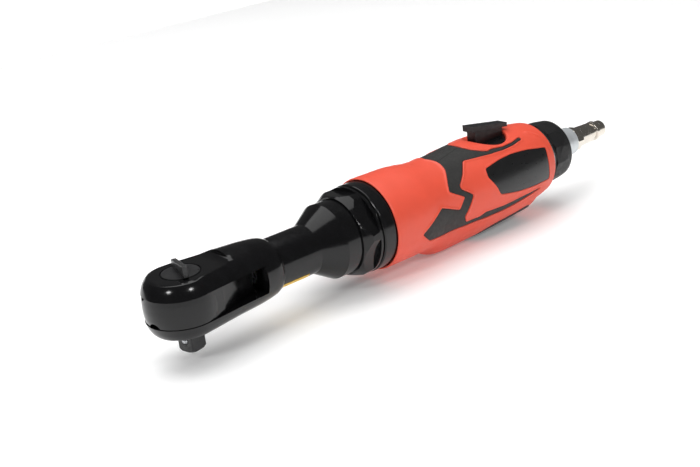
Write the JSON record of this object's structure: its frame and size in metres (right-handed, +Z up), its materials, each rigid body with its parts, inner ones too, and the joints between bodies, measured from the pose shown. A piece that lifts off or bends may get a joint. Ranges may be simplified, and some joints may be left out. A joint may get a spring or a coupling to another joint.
{
  "type": "air ratchet",
  "caption": "Pneumatic ratchet wrench with a square drive, oscillating yoke head, moulded grip, press trigger, turning exhaust ring and air plug.",
  "frame": {"origin": "on the square drive's axis, at the drive's shoulder (the underside of the head)", "axes": "+X along the tool from the head to the air inlet, +Z up from the drive to the reversing knob and trigger, -Z along the drive, Y across the tool"},
  "size_m": [0.33, 0.0506, 0.0632],
  "materials": {
    "black_steel": "black oxide steel, polished to a gloss",
    "dark_steel": "phosphated steel, satin",
    "label": "plain printed film",
    "black_collar": "black anodised, gloss",
    "red_plastic": "moulded nylon, satin",
    "grip_rubber": "soft matte rubber",
    "nameplate": "smooth film, gloss",
    "black_plastic": "moulded, fine satin",
    "bushing_metal": "turned, satin",
    "plug_nickel": "nickel plated, bright",
    "bronze": "sintered bronze",
    "seal_rubber": "moulded",
    "alloy": "machined",
    "vane_resin": "fibre-filled resin",
    "tool_steel": "ground"
  },
  "bodies": {
    "root": {"head_housing": "black_steel", "neck_label": "label", "anvil_retaining_ring": "black_steel", "anvil_thrust_washer": "bronze", "crank_front_bearing": "tool_steel", "crank_rear_bearing": "tool_steel", "ring_gear": "tool_steel", "gear_spacer": "tool_steel", "clamp_nut": "black_steel", "motor_housing": "black_collar", "front_end_plate": "alloy", "rotor_front_bearing": "tool_steel", "motor_cylinder": "alloy", "cylinder_dowel_pin": "tool_steel", "rear_end_plate": "alloy", "rotor_rear_bearing": "tool_steel", "trigger_pin": "tool_steel", "valve_guide": "bronze", "valve_oring": "seal_rubber", "valve_seat": "seal_rubber", "valve_spring": "tool_steel", "valve_cap": "tool_steel", "grip_shell": "red_plastic", "grip_insert_left": "grip_rubber", "grip_insert_right": "grip_rubber", "nameplate_left": "nameplate", "nameplate_right": "nameplate", "belly_pad": "grip_rubber", "exhaust_silencer": "bronze", "deflector_ring": "tool_steel", "deflector_clip": "tool_steel", "inlet_bushing": "bushing_metal", "inlet_oring": "seal_rubber", "inlet_screen": "tool_steel", "air_plug": "plug_nickel"},
    "yoke_body": {"yoke": "black_steel"},
    "anvil_body": {"anvil": "dark_steel", "pawl_pin": "tool_steel", "ball_spring": "tool_steel"},
    "knob_body": {"reverse_knob": "dark_steel", "pawl_plunger": "tool_steel", "plunger_spring": "tool_steel"},
    "pawl_body": {"pawl": "tool_steel"},
    "ball_body": {"retaining_ball": "tool_steel"},
    "crank_body": {"crankshaft": "tool_steel", "drive_bushing": "bronze", "planet_pins": "tool_steel"},
    "planet_1_body": {"planet_1": "tool_steel"},
    "planet_2_body": {"planet_2": "tool_steel"},
    "planet_3_body": {"planet_3": "tool_steel"},
    "rotor_body": {"rotor": "tool_steel", "vane_1": "vane_resin", "vane_2": "vane_resin", "vane_3": "vane_resin", "vane_4": "vane_resin", "vane_5": "vane_resin"},
    "trigger_body": {"trigger": "black_plastic"},
    "valve_body": {"valve_stem": "tool_steel"},
    "deflector_body": {"exhaust_deflector": "black_plastic"}
  },
  "joints": [
    {"name": "yoke_swing", "type": "hinge", "parent": "root", "child": "yoke_body", "pos_m": [0, 0, 0.014], "axis": [0, 0, 1], "range_deg": [-2.8, 2.8]},
    {"name": "anvil_turn", "type": "hinge", "parent": "root", "child": "anvil_body", "pos_m": [0, 0, 0.014], "axis": [0, 0, 1], "continuous": true},
    {"name": "knob_turn", "type": "hinge", "parent": "anvil_body", "child": "knob_body", "pos_m": [0, 0, 0.014], "axis": [0, 0, 1], "range_deg": [0, 50]},
    {"name": "pawl_rock", "type": "hinge", "parent": "anvil_body", "child": "pawl_body", "pos_m": [0.00685, 0.00146, 0.014], "axis": [0, 0, 1], "range_deg": [-10, 0]},
    {"name": "ball_press", "type": "slide", "parent": "anvil_body", "child": "ball_body", "axis": [0.9781, 0.2079, 0], "range_m": [0, 0.0009], "stiffness_N_per_m": 400},
    {"name": "crank_spin", "type": "hinge", "parent": "root", "child": "crank_body", "pos_m": [0.06, 0, 0.014], "axis": [1, 0, 0], "continuous": true},
    {"name": "planet_1_spin", "type": "hinge", "parent": "crank_body", "child": "planet_1_body", "pos_m": [0.089, 0.009, 0.014], "axis": [1, 0, 0], "continuous": true},
    {"name": "planet_2_spin", "type": "hinge", "parent": "crank_body", "child": "planet_2_body", "pos_m": [0.089, -0.0045, 0.02179], "axis": [1, 0, 0], "continuous": true},
    {"name": "planet_3_spin", "type": "hinge", "parent": "crank_body", "child": "planet_3_body", "pos_m": [0.089, -0.0045, 0.00621], "axis": [1, 0, 0], "continuous": true},
    {"name": "rotor_spin", "type": "hinge", "parent": "root", "child": "rotor_body", "pos_m": [0.129, 0, 0.014], "axis": [1, 0, 0], "continuous": true},
    {"name": "trigger_press", "type": "hinge", "parent": "root", "child": "trigger_body", "pos_m": [0.222, 0, 0.0335], "axis": [0, -1, 0], "range_deg": [0, 6], "stiffness_Nm_per_rad": 0.6, "springref_deg": -5.73},
    {"name": "valve_slide", "type": "slide", "parent": "root", "child": "valve_body", "axis": [0, 0, -1], "range_m": [0, 0.003], "deforming": ["valve_spring"]},
    {"name": "deflector_turn", "type": "hinge", "parent": "root", "child": "deflector_body", "pos_m": [0.254, 0, 0.014], "axis": [1, 0, 0], "continuous": true}
  ],
  "couplings": [
    {"joint": "pawl_rock", "follows": "knob_turn", "ratio": -0.2},
    {"joint": "rotor_spin", "follows": "crank_spin", "ratio": 4},
    {"joint": "planet_1_spin", "follows": "crank_spin", "ratio": -3},
    {"joint": "planet_2_spin", "follows": "crank_spin", "ratio": -3},
    {"joint": "planet_3_spin", "follows": "crank_spin", "ratio": -3},
    {"joint": "valve_slide", "follows": "trigger_press", "m_per_rad": 0.024}
  ]
}
